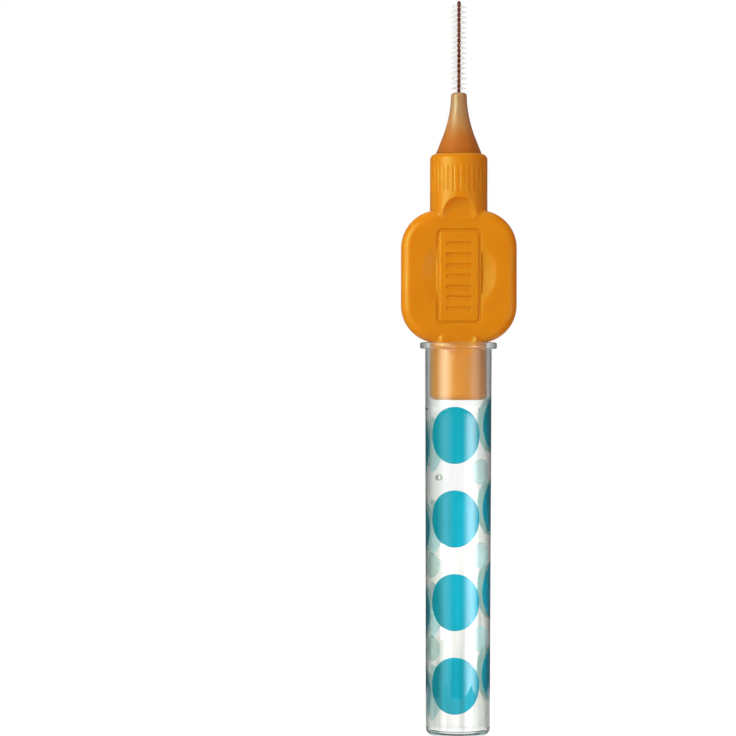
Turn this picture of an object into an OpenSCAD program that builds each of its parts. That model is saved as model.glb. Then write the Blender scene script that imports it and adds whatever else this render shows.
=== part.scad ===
// Interdental brush with a clear cap pushed onto the rear collar of its handle.
// The brush stands on the closed end of the cap, on +Z, and the flat handle faces -Y and +Y.
// Lengths are in millimetres.

/* [Cap] */
// Length of the cap, from its closed end to its mouth
cap_length = 51.2; // [45:0.1:70]
// Wall of the cap beside the socket
cap_wall = 0.55; // [0.4:0.01:1.2]
// How much smaller the radius is at the closed end than at the mouth
cap_draft = 0.16; // [0.05:0.01:0.4]
// Thickness of the closed end
cap_floor = 0.8; // [0.5:0.05:2]
// Radius of the corner round the closed end
cap_corner_r = 1; // [0.6:0.05:1.6]
// Depth of the socket that grips a collar of the handle
socket_depth = 8.6; // [8:0.1:14]
// Gap between a collar and the socket, on the radius
socket_clearance = 0.05; // [0.02:0.01:0.09]
// Step from the socket down to the rest of the bore, on the radius
socket_step = 0.05; // [0.02:0.01:0.2]
// Lead-in chamfer at the mouth
mouth_chamfer = 0.25; // [0.1:0.01:0.35]
// How far the flange stands out from the cap
flange_overhang = 0.68; // [0.4:0.02:1.5]
// Height of the flange at the mouth
flange_h = 0.85; // [0.6:0.05:2]
// Radius of the flange's edges
flange_edge_r = 0.22; // [0.1:0.01:0.28]

/* [Vent] */
// Diameter of the vent hole
vent_d = 0.75; // [0.4:0.05:1.2]
// Height of the vent hole above the closed end
vent_z = 33.7; // [20:0.1:38]
// Turn of the vent hole from the front, towards -X
vent_turn = 39.4; // [0:0.1:60]

/* [Printed dots] */
// Width of a large dot, measured round the cap
dot_w = 6.84; // [3:0.02:7.2]
// Height of a large dot
dot_h = 7.36; // [3:0.02:7.6]
// Distance between the dots of one column
dot_pitch = 10.79; // [10.5:0.01:11.5]
// Height of the centre of the front column's lowest dot
dot_z = 6.8; // [6.3:0.1:8]
// Dots in each column
dot_rows = 4; // [2:1:4]
// How much higher each column stands than the one on its left
dot_rise = 1.35; // [0:0.01:1.4]
// Turn of the front column from the front, towards -X
dot_turn = 7.5; // [-20:0.5:20]
// Angle from the front column to each side column
dot_side_angle = 99.5; // [98:0.5:112]
// Diameter of a pale dot, halfway between the columns
pale_dot_d = 3.3; // [1:0.05:3.6]
// Thickness of the ink
ink_t = 0.03; // [0.01:0.01:0.1]

/* [Handle] */
// Width of the flat grip
grip_w = 15; // [13:0.1:20]
// Height of the flat grip
grip_h = 17.25; // [16:0.05:26]
// Thickness of the flat grip
grip_t = 5.6; // [5:0.1:6.4]
// Radius of the grip's corners, seen from the front
grip_corner_r = 4.9; // [3.6:0.1:6]
// Radius of the grip's edges
grip_edge_r = 1.2; // [0.8:0.05:2]
// Diameter of the two collars
collar_d = 7.5; // [7:0.05:9]
// Length of each collar
collar_l = 7.4; // [7:0.1:8.4]
// How much slimmer each collar is in radius at its root, beside the scoops
collar_relief = 0.05; // [0:0.01:0.2]
// Radius of the round at the free end of each collar
collar_edge_r = 0.8; // [0.3:0.05:1]
// Gap left between the grip's shoulders and the cap's mouth
seat_gap = 0.03; // [0.01:0.01:0.1]

/* [Scoops] */
// Radius of the flat floor of a scoop, where the grip's face runs into a collar
scoop_r = 2; // [1.4:0.05:2.2]
// Radius of the hollow round the scoop's floor
scoop_fillet_r = 1; // [0.6:0.05:1.2]
// How far inside the grip's end a scoop is centred
scoop_inset = 1.2; // [0.8:0.05:1.6]

/* [Thumb pad] */
// Radius of the thumb dish
dish_r = 4.85; // [3.5:0.05:5.4]
// Depth of the thumb dish
dish_depth = 0.5; // [0.2:0.05:0.9]
// Height of the dish's centre over the middle of the grip
dish_rise = 0.42; // [-1:0.02:1]
// Width of the flat pad that crosses the dish
pad_w = 5.9; // [4:0.1:8]
// Height of the flat pad
pad_h = 12.4; // [10.8:0.1:14]
// Radius of the pad's corners
pad_corner_r = 0.9; // [0.6:0.05:1.8]
// Width of the groove round the pad
groove_w = 0.45; // [0.2:0.05:0.55]
// Depth of the groove round the pad
groove_depth = 0.2; // [0.1:0.02:0.5]
// Grip slots in the pad
slot_count = 7; // [0:1:7]
// Distance between grip slots
slot_pitch = 1.4; // [1:0.05:1.45]
// Length of a grip slot
slot_l = 3.3; // [1:0.1:4]
// Width of a grip slot
slot_w = 0.55; // [0.3:0.05:0.7]
// Depth of a grip slot
slot_depth = 0.16; // [0.05:0.01:0.5]

/* [Flutes] */
// Flutes round the front collar
flute_count = 32; // [12:1:36]
// Width of a flute
flute_w = 0.13; // [0.06:0.01:0.14]
// Depth of a flute
flute_depth = 0.07; // [0.03:0.01:0.2]
// Length of a flute
flute_l = 3.4; // [1:0.1:3.8]
// Height of the flutes over the end of the grip
flute_z = 2.4; // [2.2:0.1:2.8]

/* [Neck] */
// Length of the soft neck
neck_l = 8; // [7:0.1:14]
// Diameter of the neck where it meets the collar
neck_base_d = 5.9; // [5.2:0.1:5.9]
// Diameter of the neck's tip
neck_tip_d = 2; // [1.6:0.02:2.6]
// Height of the neck's straight cone
neck_cone_h = 2.5; // [2:0.1:3.5]
// Diameter at the top of the straight cone
neck_waist_d = 3.7; // [3.4:0.02:3.9]
// Height where the curve above the cone has run out
neck_curve_h = 7.4; // [6:0.1:7.4]
// Radius round the neck's tip
neck_tip_r = 0.5; // [0.2:0.05:0.6]
// Diameter at the root of the peg inside the neck
peg_root_d = 4.2; // [3.6:0.1:4.6]
// Diameter at the tip of the peg
peg_tip_d = 1.6; // [1.2:0.1:1.8]
// Height of the peg
peg_h = 3.6; // [2:0.1:4]
// Gap between the peg and the neck
peg_clearance = 0.02; // [0.01:0.01:0.1]

/* [Wire] */
// Diameter of the coated wire
wire_d = 0.19; // [0.12:0.01:0.25]
// Gap between the two twisted legs, where the filaments are held
leg_gap = 0.1; // [0.1:0.01:0.14]
// Length of one full twist
wire_lead = 1.33; // [1.2:0.01:2]
// Length of wire that stands out of the neck
wire_out = 11.95; // [8:0.05:18]
// Depth to which the wire reaches into the handle
wire_depth = 5.75; // [3:0.05:7]
// Stretch below the wire's tip where the twist runs out
wire_ease = 0.4; // [0.2:0.05:0.8]
// Gap round the wire in the handle and the neck
wire_clearance = 0.02; // [0.01:0.01:0.08]

/* [Bristles] */
// Diameter of the bristle field
field_d = 2.14; // [1.5:0.02:4]
// Filaments, each of which gives two bristles
filament_count = 150; // [20:1:150]
// Thickness of a filament
filament_t = 0.06; // [0.03:0.005:0.06]
// Bare wire below the bristle field
bare_below = 0.35; // [0.1:0.05:3]
// Bare wire above the bristle field
bare_above = 0.45; // [0.45:0.05:3]

/* [Hidden] */
$fn = 64;

// Every cut runs this far past the surface it opens.
overrun = 0.5;
// Steps in a quarter of a rounded edge
arc_steps = 6;
// Steps round the outline of a dot
dot_steps = 36;
// Rings in one twist of the wire, rings in its tip loop, and sides of the wire
twist_rings = 8;
loop_rings = 8;
wire_sides = 6;
// Sides of a filament
filament_sides = 3;
// How quickly the neck's curve turns upright: 1 is a straight cone, 2 a parabola
neck_curve_power = 1.8;

collar_r = collar_d / 2;
socket_r = collar_r + socket_clearance;
cap_mouth_r = socket_r + cap_wall;
cap_end_r = cap_mouth_r - cap_draft;
flange_r = cap_mouth_r + flange_overhang;
socket_z = cap_length - socket_depth;

// The grip's rounded shoulders rest on the mouth's chamfer, outside the flat end of the grip.
grip_flat_x = grip_w / 2 - grip_corner_r;
seat_r = socket_r + mouth_chamfer;
seat_x = sqrt(pow(seat_r, 2) - pow(grip_t / 2 - grip_edge_r, 2));
seat_run = max(0, seat_x - grip_flat_x);
seat_rise = grip_corner_r - sqrt(pow(grip_corner_r, 2) - pow(seat_run, 2));
grip_z0 = cap_length + seat_gap - seat_rise;
grip_z1 = grip_z0 + grip_h;
grip_mid_z = (grip_z0 + grip_z1) / 2;
dish_z = grip_mid_z + dish_rise;
dish_sphere_r = (pow(dish_r, 2) + pow(dish_depth, 2)) / (2 * dish_depth);
collar_top_z = grip_z1 + collar_l;

neck_tip_z = collar_top_z + neck_l;
wire_r = wire_d / 2;
helix_r = (wire_d + leg_gap) / 2;
wire_bore_r = helix_r + wire_r + wire_clearance;
wire_z0 = collar_top_z - wire_depth;
wire_tip_z = neck_tip_z + wire_out;
loop_z = wire_tip_z - wire_r - helix_r;
leg_rings = ceil((loop_z - wire_z0) / wire_lead * twist_rings);
field_z0 = neck_tip_z + bare_below;
field_z1 = wire_tip_z - bare_above;
filament_gap = (field_z1 - field_z0) / (filament_count - 1);
backing_r = leg_gap * 0.3;

// Points on an arc, in steps that both ends share
function arc(x, y, r, from, to, steps = arc_steps) =
    [for (i = [0:steps]) let (a = from + (to - from) * i / steps) [x + r * cos(a), y + r * sin(a)]];

function cap_outer_r(z) = cap_end_r + cap_draft * z / cap_length;
function cap_bore_r(z) = cap_outer_r(z) - cap_wall - socket_step;

// Turn of the wire's first leg at a height: steady, and running out below the tip loop
function ease_run(z) = max(0, z - loop_z + wire_ease);
function wire_turn(z) = 360 / wire_lead * (z - wire_z0 - pow(ease_run(z), 2) / (2 * wire_ease));
function turn_rate(z) = 360 / wire_lead * (1 - ease_run(z) / wire_ease);

module cap() {
    bore_corner_r = cap_corner_r - cap_floor / 2;
    mouth_edge_z = cap_length - flange_edge_r;
    flange_z = cap_length - flange_h;
    difference() {
        color("#dfeeee", 0.35) rotate_extrude() polygon(concat(
            [[0, 0]],
            arc(cap_end_r - cap_corner_r, cap_corner_r, cap_corner_r, -90, 0),
            [[cap_outer_r(flange_z), flange_z]],
            arc(flange_r - flange_edge_r, flange_z + flange_edge_r, flange_edge_r, -90, 0, 3),
            arc(flange_r - flange_edge_r, mouth_edge_z, flange_edge_r, 0, 90, 3),
            [[seat_r, cap_length], [socket_r, cap_length - mouth_chamfer]],
            [[socket_r, socket_z], [cap_bore_r(socket_z), socket_z - socket_step]],
            arc(cap_bore_r(0) - bore_corner_r, cap_floor + bore_corner_r, bore_corner_r, 0, -90),
            [[0, cap_floor]]
        ));
        color("#dfeeee", 0.35) vent_cutter();
    }
}

module vent_cutter() {
    translate([0, 0, vent_z]) rotate([90, 0, -vent_turn]) cylinder(d = vent_d, h = cap_mouth_r + overrun);
}

// The outline of a dot, as it looks from the front once it is wrapped round the cap
function dot_outline(z, w, h) = let (r = cap_outer_r(z))
    [for (i = [0:dot_steps - 1]) let (a = 360 * i / dot_steps)
        [r * sin(w / 2 * cos(a) / r * 180 / PI), h / 2 * sin(a)]];

module dot_prism(z, turn, w, h) {
    rotate([90, 0, turn]) translate([0, z, 0])
        linear_extrude(height = cap_mouth_r + overrun) polygon(dot_outline(z, w, h));
}

// The coat of ink that its children cut out of the cap's surface, open at the vent hole
module printed() {
    ink_z0 = cap_corner_r;
    ink_z1 = cap_length - flange_h - ink_t;
    difference() {
        intersection() {
            rotate_extrude() polygon([
                [cap_outer_r(ink_z0), ink_z0], [cap_outer_r(ink_z0) + ink_t, ink_z0],
                [cap_outer_r(ink_z1) + ink_t, ink_z1], [cap_outer_r(ink_z1), ink_z1]
            ]);
            union() children();
        }
        vent_cutter();
    }
}

module printed_dots() {
    color("#2aa3c4") printed()
        for (side = [-1:1], i = [0:dot_rows - 1]) dot_prism(
            dot_z + dot_pitch * i + dot_rise * side, dot_side_angle * side - dot_turn, dot_w, dot_h
        );
}

// A pale dot whose place is taken by the vent hole is left out.
function clear_of_vent(z, turn) =
    norm([cap_outer_r(z) * (turn + vent_turn) * PI / 180, z - vent_z]) > pale_dot_d / 2 + vent_d;

module pale_dots() {
    color("#c4e2ee") printed()
        for (side = [-1, 1], i = [1:dot_rows - 1]) let (
            z = dot_z + dot_pitch * (i - 1 / 2) + dot_rise * side / 2,
            turn = dot_side_angle * side / 2 - dot_turn
        ) if (clear_of_vent(z, turn)) dot_prism(z, turn, pale_dot_d, pale_dot_d);
}

module rounded_rect(w, h, r) {
    square([w, h - 2 * r], center = true);
    square([w - 2 * r, h], center = true);
    for (x = [-1, 1], y = [-1, 1]) translate([x * (w / 2 - r), y * (h / 2 - r)]) circle(r);
}

// A disc lying in the XZ plane with its rims rounded, which forms a corner of the grip
module grip_corner() {
    flat = grip_t / 2 - grip_edge_r;
    rim_x = grip_corner_r - grip_edge_r;
    rotate([90, 0, 0]) rotate_extrude($fn = 40) polygon(concat(
        [[0, -grip_t / 2]], arc(rim_x, -flat, grip_edge_r, -90, 0, 5),
        arc(rim_x, flat, grip_edge_r, 0, 90, 5), [[0, grip_t / 2]]
    ));
}

module grip() {
    hull() for (x = [-1, 1], z = [-1, 1])
        translate([x * grip_flat_x, 0, grip_mid_z + z * (grip_h / 2 - grip_corner_r)]) grip_corner();
}

// A collar whose root stands at z = 0 inside the grip and whose free end is rounded
module collar() {
    length = collar_l + scoop_inset;
    rotate_extrude() polygon(concat(
        [[0, 0], [collar_r - collar_relief, 0], [collar_r, scoop_r + scoop_fillet_r]],
        arc(collar_r - collar_edge_r, length - collar_edge_r, collar_edge_r, 0, 90),
        [[0, length]]
    ));
}

module peg() {
    translate([0, 0, collar_top_z - peg_clearance])
        cylinder(d1 = peg_root_d, d2 = peg_tip_d, h = peg_h);
}

// The cutter that runs the grip's face on into a collar, lying on the face at its origin
module scoop_cutter() {
    cut_h = collar_r - grip_t / 2 + scoop_fillet_r;
    rim_r = scoop_r + scoop_fillet_r;
    rotate([90, 0, 0]) rotate_extrude() polygon(concat(
        [[0, 0]], arc(scoop_r, scoop_fillet_r, scoop_fillet_r, -90, 0), [[rim_r, cut_h], [0, cut_h]]
    ));
}

// The dish, the groove and the slots of the thumb pad, cut into the front face
module thumb_pad_cutter() {
    face_y = -grip_t / 2;
    difference() {
        translate([0, face_y - dish_sphere_r + dish_depth, dish_z]) sphere(dish_sphere_r, $fn = 128);
        translate([0, face_y + dish_depth + overrun, grip_mid_z]) rotate([90, 0, 0])
            linear_extrude(height = 2 * (dish_depth + overrun)) rounded_rect(pad_w, pad_h, pad_corner_r);
    }
    translate([0, face_y + groove_depth, grip_mid_z]) rotate([90, 0, 0])
        linear_extrude(height = groove_depth + overrun) difference() {
            rounded_rect(pad_w, pad_h, pad_corner_r);
            rounded_rect(pad_w - 2 * groove_w, pad_h - 2 * groove_w, pad_corner_r - groove_w);
        }
    translate([0, face_y + slot_depth, grip_mid_z]) rotate([90, 0, 0])
        linear_extrude(height = slot_depth + overrun)
            for (i = [0:slot_count - 1]) translate([0, (i - (slot_count - 1) / 2) * slot_pitch]) grip_slot();
}

module grip_slot() {
    square([slot_l - slot_w, slot_w], center = true);
    for (x = [-1, 1]) translate([x * (slot_l - slot_w) / 2, 0]) circle(d = slot_w);
}

module flute_cutters() {
    for (i = [0:flute_count - 1]) rotate([0, 0, 360 * i / flute_count])
        translate([collar_r - flute_depth, -flute_w / 2, grip_z1 + flute_z])
            cube([flute_depth + overrun, flute_w, flute_l]);
}

module handle() {
    color("#e08a18") difference() {
        union() {
            grip();
            translate([0, 0, grip_z1 - scoop_inset]) collar();
            translate([0, 0, grip_z0 + scoop_inset]) mirror([0, 0, 1]) collar();
            peg();
        }
        for (side = [0, 1]) mirror([0, side, 0]) {
            for (z = [grip_z0 + scoop_inset, grip_z1 - scoop_inset])
                translate([0, -grip_t / 2, z]) scoop_cutter();
            thumb_pad_cutter();
        }
        flute_cutters();
        translate([0, 0, wire_z0 - wire_clearance])
            cylinder(r = wire_bore_r, h = wire_depth + peg_h + overrun);
    }
}

// Radius of the neck over its straight cone: a curve that leaves the cone and ends upright
function neck_curve(t) = neck_tip_d / 2 + (neck_waist_d - neck_tip_d) / 2 * pow(1 - t, neck_curve_power);

module neck() {
    curve_steps = 9;
    curve_l = neck_curve_h - neck_cone_h;
    color("#c08a55", 0.85) translate([0, 0, collar_top_z]) rotate_extrude() polygon(concat(
        [[peg_root_d / 2 + peg_clearance, 0], [neck_base_d / 2, 0]],
        [for (i = [0:curve_steps]) let (t = i / curve_steps) [neck_curve(t), neck_cone_h + curve_l * t]],
        arc(neck_tip_d / 2 - neck_tip_r, neck_l - neck_tip_r, neck_tip_r, 0, 90),
        [[wire_bore_r, neck_l], [wire_bore_r, peg_h + peg_clearance]],
        [[peg_tip_d / 2 + peg_clearance, peg_h + peg_clearance]]
    ));
}

// One leg of the wire: its rings' centres, the way it runs and the way out from the axis
function leg_ring(z, side) = let (
    a = wire_turn(z) + (side > 0 ? 0 : 180),
    out = [cos(a), sin(a), 0],
    along = [-sin(a), cos(a), 0] * helix_r * turn_rate(z) * PI / 180 + [0, 0, 1]
) [[helix_r * out.x, helix_r * out.y, z], side * along / norm(along), out];

function leg_rings_up(side) =
    [for (i = [0:leg_rings]) leg_ring(wire_z0 + (loop_z - wire_z0) * i / leg_rings, side)];

// The half loop at the tip, from the first leg over the top to the second
function tip_loop() = let (a = wire_turn(loop_z), x = [cos(a), sin(a), 0])
    [for (i = [1:loop_rings - 1]) let (
        b = 180 * i / loop_rings,
        out = x * cos(b) + [0, 0, sin(b)],
        along = [0, 0, cos(b)] - x * sin(b)
    ) [[0, 0, loop_z] + helix_r * out, along, out]];

function reversed(list) = [for (i = [len(list) - 1:-1:0]) list[i]];

module swept_tube(rings, r, sides) {
    last = len(rings) - 1;
    points = [for (ring = rings, j = [0:sides - 1]) let (a = 360 * j / sides)
        ring[0] + r * (cos(a) * ring[2] + sin(a) * cross(ring[1], ring[2]))];
    walls = [for (i = [0:last - 1], j = [0:sides - 1]) let (
        a = i * sides + j, b = i * sides + (j + 1) % sides, c = a + sides, d = b + sides
    ) each [[a, c, b], [b, c, d]]];
    ends = [for (j = [1:sides - 2]) each [[0, j, j + 1], [last * sides, last * sides + j + 1, last * sides + j]]];
    polyhedron(points, concat(walls, ends));
}

module wire() {
    up = leg_rings_up(1);
    down = reversed(leg_rings_up(-1));
    gap = min([for (i = [0:leg_rings], j = [max(0, i - twist_rings):min(leg_rings, i + twist_rings)])
        norm(up[i][0] - down[leg_rings - j][0])]) - wire_d;
    echo(least_gap_between_legs = gap);
    color("#6b2a22") swept_tube(concat(up, tip_loop(), down), wire_r, wire_sides);
}

// Each filament passes between the legs, so its two bristles turn with the twist.
module bristles() {
    color("#f4f2ea", 0.8) {
        translate([0, 0, field_z0 - filament_t])
            cylinder(r = backing_r, h = field_z1 - field_z0 + 2 * filament_t, $fn = 6);
        for (i = [0:filament_count - 1]) let (z = field_z0 + filament_gap * i)
            translate([0, 0, z]) rotate([0, 90, wire_turn(z) + 90])
                cylinder(d = filament_t, h = field_d, center = true, $fn = filament_sides);
    }
}

cap();
printed_dots();
pale_dots();
handle();
neck();
wire();
bristles();
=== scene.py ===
import math

import bpy
import numpy as np
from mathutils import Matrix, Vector


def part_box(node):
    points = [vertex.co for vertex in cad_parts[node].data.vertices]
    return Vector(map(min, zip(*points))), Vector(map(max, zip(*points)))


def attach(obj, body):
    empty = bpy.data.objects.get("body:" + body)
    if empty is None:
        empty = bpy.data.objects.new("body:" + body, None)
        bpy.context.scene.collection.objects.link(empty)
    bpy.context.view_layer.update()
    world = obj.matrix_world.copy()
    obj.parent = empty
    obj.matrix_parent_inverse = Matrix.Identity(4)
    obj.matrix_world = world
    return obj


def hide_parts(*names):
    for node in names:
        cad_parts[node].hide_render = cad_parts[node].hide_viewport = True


# Sizes are in millimetres, as in the part's source, until a mesh, a lamp or the camera is made.

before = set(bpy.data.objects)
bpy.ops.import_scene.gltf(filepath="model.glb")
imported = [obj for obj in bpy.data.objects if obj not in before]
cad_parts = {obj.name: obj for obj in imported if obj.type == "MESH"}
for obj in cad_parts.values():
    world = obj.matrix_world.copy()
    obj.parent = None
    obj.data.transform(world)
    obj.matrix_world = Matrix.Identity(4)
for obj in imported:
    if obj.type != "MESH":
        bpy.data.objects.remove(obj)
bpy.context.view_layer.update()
metre = 0.001  # metres in a millimetre
crisp = math.radians(35)  # edges that turn by more than this stay sharp
bpy.context.scene.view_settings.view_transform = "Standard"
print("frame loaded")


# Small helpers

def nodeSpan(node):  # lowest and highest corner of a CAD node, in millimetres
    low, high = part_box(node)
    return np.array(low) / metre, np.array(high) / metre


def linearColour(hexCode):  # an sRGB hex value as the linear colour that shaders take
    parts = [int(hexCode[i:i + 2], 16) / 255 for i in (1, 3, 5)]
    return [p / 12.92 if p <= 0.04045 else ((p + 0.055) / 1.055) ** 2.4 for p in parts] + [1.0]


def perMetre(millimetres):  # texture scale for a pattern whose features are this size
    return 1 / (millimetres * metre)


def setStops(elements, stops):  # the places and hex colours of a ramp
    while len(elements) < len(stops):
        elements.new(0.5)
    for element, (position, hexCode) in zip(elements, stops):
        element.position = position
        element.color = linearColour(hexCode)


def addNode(tree, kind, settings=None, links=None):  # a link from a node is from its first output
    node = tree.nodes.new(kind)
    for key, value in (settings or {}).items():
        if key == "stops":
            setStops(node.color_ramp.elements, value)
        elif isinstance(key, int) or key in node.inputs:
            node.inputs[key].default_value = value
        else:
            setattr(node, key, value)
    for key, source in (links or {}).items():
        if isinstance(source, bpy.types.Node):
            source = source.outputs[0]
        tree.links.new(source, node.inputs[key])
    return node


def startMaterial(name):
    material = bpy.data.materials.new(name)
    material.use_nodes = True
    tree = material.node_tree
    tree.nodes.clear()
    output = addNode(tree, "ShaderNodeOutputMaterial")
    place = addNode(tree, "ShaderNodeTexCoord").outputs["Object"]
    return material, tree, output, place


def linked(name, data):
    thing = bpy.data.objects.new(name, data)
    bpy.context.scene.collection.objects.link(thing)
    return thing


def meshFrom(name, points, faces, normals=None):
    mesh = bpy.data.meshes.new(name)
    mesh.from_pydata((np.asarray(points, float) * metre).tolist(), [], faces)
    mesh.validate()
    mesh.update()
    mesh.shade_smooth()
    if normals is not None:
        mesh.normals_split_custom_set_from_vertices(normals.tolist())
    return linked(name, mesh)


def dress(thing, material, body, nodes):  # rides, replaces its CAD nodes and takes the material given
    thing.data.materials.clear()
    thing.data.materials.append(material)
    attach(thing, body)
    for node in nodes:
        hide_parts(node)


def turned(profile, sides):  # points and faces of a lathe shape from a closed outline of (radius, height)
    points, rings = [], []
    for radius, height in profile:
        if radius == 0:
            rings.append([len(points)] * sides)
            points.append((0, 0, height))
        else:
            rings.append(list(range(len(points), len(points) + sides)))
            for i in range(sides):
                a = 2 * math.pi * i / sides
                points.append((radius * math.sin(a), -radius * math.cos(a), height))
    faces = []
    for k, ring in enumerate(rings):
        above = rings[(k + 1) % len(rings)]
        for i in range(sides):
            j = (i + 1) % sides
            corners = [ring[i], ring[j], above[j], above[i]]
            face = [c for n, c in enumerate(corners) if c != corners[n - 1]]
            if len(face) > 2:
                faces.append(face)
    return points, faces


def arc(x, y, radius, start, end, steps):  # points on an arc, from one angle to another in degrees
    angles = np.radians(np.linspace(start, end, steps + 1))
    return [(x + radius * math.cos(a), y + radius * math.sin(a)) for a in angles]


def around(turn, away, height):  # a place at a turn from the camera's side, positive to the right
    turn = math.radians(turn)
    return away * math.sin(turn), -away * math.cos(turn), height


def treeFor(name, inputs):  # an empty Geometry Nodes tree with its named inputs
    tree = bpy.data.node_groups.new(name, "GeometryNodeTree")
    tree.interface.new_socket("Geometry", in_out="INPUT", socket_type="NodeSocketGeometry")
    for label, kind in inputs.items():
        tree.interface.new_socket(label, in_out="INPUT", socket_type=kind)
    tree.interface.new_socket("Geometry", in_out="OUTPUT", socket_type="NodeSocketGeometry")
    given = tree.nodes.new("NodeGroupInput").outputs
    return tree, given


def endTree(tree, geometry, material):  # the instances are made real, because the export drops them
    real = addNode(tree, "GeometryNodeRealizeInstances", links={"Geometry": geometry})
    coloured = addNode(tree, "GeometryNodeSetMaterial", {"Material": material}, {"Geometry": real})
    addNode(tree, "NodeGroupOutput", links={0: coloured})
    return tree


def plainMesh(thing):  # the mesh as the modifiers leave it; they are then removed
    bpy.context.view_layer.update()
    seen = thing.evaluated_get(bpy.context.evaluated_depsgraph_get())
    mesh = bpy.data.meshes.new_from_object(seen)
    thing.modifiers.clear()
    return mesh


def runTree(thing, tree, values):  # sets the inputs, then makes the result a plain mesh
    modifier = thing.modifiers.new(tree.name, "NODES")
    modifier.node_group = tree
    for item in tree.interface.items_tree:
        if item.in_out == "INPUT" and item.name in values:
            modifier[item.identifier] = values[item.name]
    mesh = plainMesh(thing)
    name = thing.name
    bpy.data.objects.remove(thing)
    return linked(name, mesh)


# Camera: level, at the height of the picture's middle, off to the left of the brush and rolled a hair

shot = {
    "lens": 155,
    "place": (-11.78, -413, 47.84),
    "roll": 0.0018,  # radians
    "clipStart": 10,
}

camera = linked("camera", bpy.data.cameras.new("camera"))
camera.data.lens = shot["lens"]
camera.data.clip_start = shot["clipStart"] * metre
camera.location = [v * metre for v in shot["place"]]
camera.rotation_euler = (math.radians(90), -shot["roll"], 0)
bpy.context.scene.camera = camera
print("camera placed")


# Clear cap: a thin drafted tube with a stepped socket, a flanged mouth and a small vent

capHigh = nodeSpan("cap")[1]

cap = {
    "length": capHigh[2],
    "endRadius": 4.19,
    "draft": 0.16,
    "wall": 0.60,
    "straightFrom": 2,
    "socketRadius": 3.80,
    "socketFloor": 42.6,
    "stepRise": 0.2,
    "stepRun": 0.6,
    "stepFoot": 0.12,
    "stepClear": 0.3,
    "mouthDepth": 1,
    "mouthChamfer": 0.25,
    "mouthRound": 0.04,
    "floor": 0.8,
    "cornerRadius": 1.0,
    "innerCorner": 0.6,
    "flangeRadius": capHigh[1],
    "flangeHeight": 0.85,
    "flangeEdge": 0.22,
    "flangeFillet": 0.1,
    "ventRadius": 0.375,
    "ventHeight": 33.7,
    "ventTurn": -39.4,
    "drillAway": 4.1,
    "drillLength": 3,
    "drillSides": 40,
    "sides": 192,
    "streakFrom": 8,  # the painted streak shade fades from here up to streakTo
    "streakTo": 34,
    # the painted shade on the cap fades in between these heights, above the rounded foot
    "paintedShadeFrom": 0.4,
    "paintedShadeTo": 1.6,
    "outsideFrom": 4.0,  # further than this from the axis is the outside
    "ventDull": 0.43,
    "ventClear": 0.46,
}


def capRadius(z):
    return cap["endRadius"] + cap["draft"] * z / cap["length"]


def makeCap():
    top, corner, innerCorner = cap["length"], cap["cornerRadius"], cap["innerCorner"]
    edge, fillet = cap["flangeEdge"], cap["flangeFillet"]
    rim = cap["flangeRadius"] - edge
    flangeFoot = top - cap["flangeHeight"]
    socket = cap["socketRadius"]
    mouth = socket + cap["mouthChamfer"]
    stepTop = cap["socketFloor"] + cap["stepRise"]
    boreTop = cap["socketFloor"] - cap["stepFoot"]
    bore = capRadius(boreTop) - cap["wall"]
    inner = capRadius(0) - cap["wall"] - innerCorner
    profile = [(0, 0)]
    profile += arc(cap["endRadius"] - corner, corner, corner, -90, 0, 10)
    profile += [(capRadius(z), z) for z in np.linspace(cap["straightFrom"], flangeFoot - fillet, 25)]
    profile += arc(capRadius(top) + fillet, flangeFoot - fillet, fillet, 180, 90, 4)
    profile += arc(rim, flangeFoot + edge, edge, -90, 0, 5)
    profile += arc(rim, top - edge, edge, 0, 90, 5)
    profile += [(mouth + cap["mouthRound"], top), (mouth, top - cap["mouthRound"])]
    profile += [(socket, top - cap["mouthChamfer"])]
    profile += [(socket, z) for z in np.linspace(top - cap["mouthDepth"], stepTop, 6)]
    for share in (0.1, 0.3, 0.5, 0.7, 0.9):  # the step runs out softly, so that it draws no black line
        swell = 0.5 - 0.5 * math.cos(math.pi * share)
        profile += [(socket + (bore - socket) * swell, stepTop - cap["stepRun"] * share)]
    heights = np.linspace(boreTop - cap["stepClear"], cap["straightFrom"], 20)
    profile += [(capRadius(z) - cap["wall"], z) for z in heights]
    profile += arc(inner, cap["floor"] + innerCorner, innerCorner, 0, -90, 8)
    profile += [(0, cap["floor"])]
    shell = meshFrom("cap_clear", *turned(profile, cap["sides"]))

    bpy.ops.mesh.primitive_cylinder_add(
        vertices=cap["drillSides"], radius=cap["ventRadius"] * metre, depth=cap["drillLength"] * metre,
    )
    drill = bpy.context.object
    drill.location = [v * metre for v in around(cap["ventTurn"], cap["drillAway"], cap["ventHeight"])]
    drill.rotation_euler = (math.radians(90), 0, math.radians(cap["ventTurn"]))
    cut = shell.modifiers.new("vent", "BOOLEAN")
    cut.operation = "DIFFERENCE"
    cut.solver = "EXACT"
    cut.object = drill
    shell.data = plainMesh(shell)
    bpy.data.objects.remove(drill)
    shell.data.shade_smooth()
    shell.data.set_sharp_from_angle(angle=crisp)
    return shell
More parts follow.
